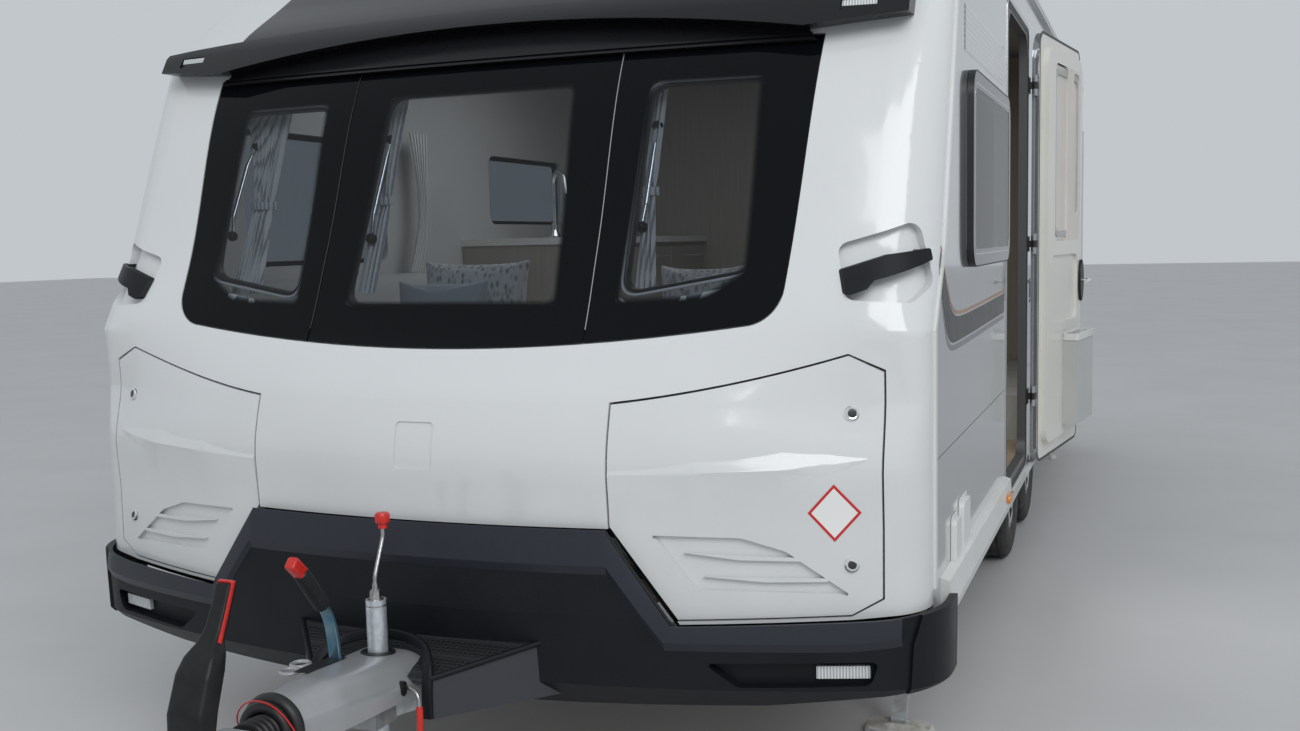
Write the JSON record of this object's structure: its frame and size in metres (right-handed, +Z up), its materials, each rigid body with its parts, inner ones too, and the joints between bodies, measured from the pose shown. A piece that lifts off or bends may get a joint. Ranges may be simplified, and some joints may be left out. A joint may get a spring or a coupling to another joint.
{
  "type": "travel caravan",
  "caption": "Touring caravan: bowed white nose with front panes and lockers, hinged entrance door, road wheels, jockey wheel and corner steadies.",
  "frame": {"origin": "centre of the tow ball in the coupling head, on the caravan's centre plane", "axes": "+X to the caravan's left (the entrance door's side), +Y to its rear, +Z up"},
  "size_m": [2.6931, 7.8168, 2.575],
  "materials": {
    "wall_aluminium": "gloss",
    "white_moulding": "gloss",
    "white_trim": "gloss",
    "dark_moulding": "satin",
    "visor_black": "satin",
    "tinted_acrylic": "gloss",
    "clear_lens": "gloss",
    "red_lens": "gloss",
    "galvanised": "matt",
    "tyre_rubber": "matt",
    "alloy": "polished",
    "rubber_black": "matt",
    "grey_plastic": "satin",
    "silver_plastic": "satin",
    "door_cream": "satin",
    "dark_plastic": "satin",
    "chrome_parts": "polished",
    "blue_steel": "satin",
    "red_plastic": "satin",
    "cushion_fabric": "woven",
    "curtain_cloth": "woven",
    "furniture_wood": "satin",
    "worktop_stone": "satin",
    "floor_board": "satin"
  },
  "bodies": {
    "caravan": {"side_wall_near": "wall_aluminium", "side_wall_off": "wall_aluminium", "side_windows": "tinted_acrylic", "front_moulding": "white_moulding", "front_windows": "tinted_acrylic", "roof_light_band": "tinted_acrylic", "front_visor": "visor_black", "front_valance": "dark_moulding", "front_lamps": "clear_lens", "front_bulkhead": "white_moulding", "grab_handles": "dark_moulding", "corner_trims": "white_trim", "roof": "white_moulding", "roof_lights": "tinted_acrylic", "rear_moulding": "white_moulding", "rear_lamps": "red_lens", "rear_bumper": "dark_moulding", "skirts": "white_trim", "curtains": "curtain_cloth", "floor": "floor_board", "wheel_boxes": "grey_plastic", "door_frame": "dark_plastic", "service_hatches": "white_trim", "axles": "galvanised", "chassis_beams": "galvanised", "chassis_members": "galvanised", "chassis_brackets": "galvanised", "coupling_head": "silver_plastic", "bellows": "rubber_black", "stabiliser_lever": "dark_plastic", "handbrake_lever": "blue_steel", "hitch_cover": "silver_plastic", "jockey_tube": "galvanised", "jockey_crank": "red_plastic", "step_fairing": "dark_moulding", "seat_cushions": "cushion_fabric", "furniture": "furniture_wood", "kitchen_worktop": "worktop_stone"},
    "entrance_door": {"entrance_door": "door_cream", "door_window": "tinted_acrylic", "door_bin": "grey_plastic", "door_handle": "chrome_parts"},
    "locker_near": {"locker_door_near": "white_moulding"},
    "locker_off": {"locker_door_off": "white_moulding"},
    "jockey_slide": {"jockey_inner": "galvanised"},
    "jockey_swivel": {"jockey_fork": "galvanised"},
    "jockey_roller": {"jockey_wheel": "rubber_black"},
    "wheel_near_front": {"tyre_near_front": "tyre_rubber", "rim_near_front": "alloy"},
    "steady_near_front": {"steady_near_front": "galvanised"},
    "wheel_near_rear": {"tyre_near_rear": "tyre_rubber", "rim_near_rear": "alloy"},
    "steady_near_rear": {"steady_near_rear": "galvanised"},
    "wheel_off_front": {"tyre_off_front": "tyre_rubber", "rim_off_front": "alloy"},
    "steady_off_front": {"steady_off_front": "galvanised"},
    "wheel_off_rear": {"tyre_off_rear": "tyre_rubber", "rim_off_rear": "alloy"},
    "steady_off_rear": {"steady_off_rear": "galvanised"}
  },
  "joints": [
    {"name": "entrance_door_hinge", "type": "hinge", "parent": "caravan", "child": "entrance_door", "pos_m": [1.237, 3.552, 1], "axis": [0, 0, 1], "range_deg": [-172, 3]},
    {"name": "locker_near_hinge", "type": "hinge", "parent": "caravan", "child": "locker_near", "pos_m": [0.4985, 0.902, 0.47], "axis": [0, 0, -1], "range_deg": [0, 100]},
    {"name": "locker_off_hinge", "type": "hinge", "parent": "caravan", "child": "locker_off", "pos_m": [-0.4985, 0.902, 0.47], "axis": [0, 0, 1], "range_deg": [0, 100]},
    {"name": "jockey_wind", "type": "slide", "parent": "caravan", "child": "jockey_slide", "axis": [0, 0, 1], "range_m": [0, 0.15]},
    {"name": "jockey_swivel", "type": "hinge", "parent": "jockey_slide", "child": "jockey_swivel", "pos_m": [0, 0.7, -0.208], "axis": [0, 0, 1], "continuous": true},
    {"name": "jockey_roll", "type": "hinge", "parent": "jockey_swivel", "child": "jockey_roller", "pos_m": [0, 0.746, -0.325], "axis": [1, 0, 0], "continuous": true},
    {"name": "wheel_near_front_spin", "type": "hinge", "parent": "caravan", "child": "wheel_near_front", "pos_m": [1, 4.2, -0.115], "axis": [1, 0, 0], "continuous": true},
    {"name": "wheel_near_rear_spin", "type": "hinge", "parent": "caravan", "child": "wheel_near_rear", "pos_m": [1, 5, -0.115], "axis": [1, 0, 0], "continuous": true},
    {"name": "wheel_off_front_spin", "type": "hinge", "parent": "caravan", "child": "wheel_off_front", "pos_m": [-1, 4.2, -0.115], "axis": [1, 0, 0], "continuous": true},
    {"name": "wheel_off_rear_spin", "type": "hinge", "parent": "caravan", "child": "wheel_off_rear", "pos_m": [-1, 5, -0.115], "axis": [1, 0, 0], "continuous": true},
    {"name": "steady_near_front_wind", "type": "hinge", "parent": "caravan", "child": "steady_near_front", "pos_m": [1, 2.17612, 0.09], "axis": [-1, 0, 0], "range_deg": [0, 60]},
    {"name": "steady_near_rear_wind", "type": "hinge", "parent": "caravan", "child": "steady_near_rear", "pos_m": [1, 6.70388, 0.09], "axis": [1, 0, 0], "range_deg": [0, 60]},
    {"name": "steady_off_front_wind", "type": "hinge", "parent": "caravan", "child": "steady_off_front", "pos_m": [-1, 2.17612, 0.09], "axis": [-1, 0, 0], "range_deg": [0, 60]},
    {"name": "steady_off_rear_wind", "type": "hinge", "parent": "caravan", "child": "steady_off_rear", "pos_m": [-1, 6.70388, 0.09], "axis": [1, 0, 0], "range_deg": [0, 60]}
  ]
}
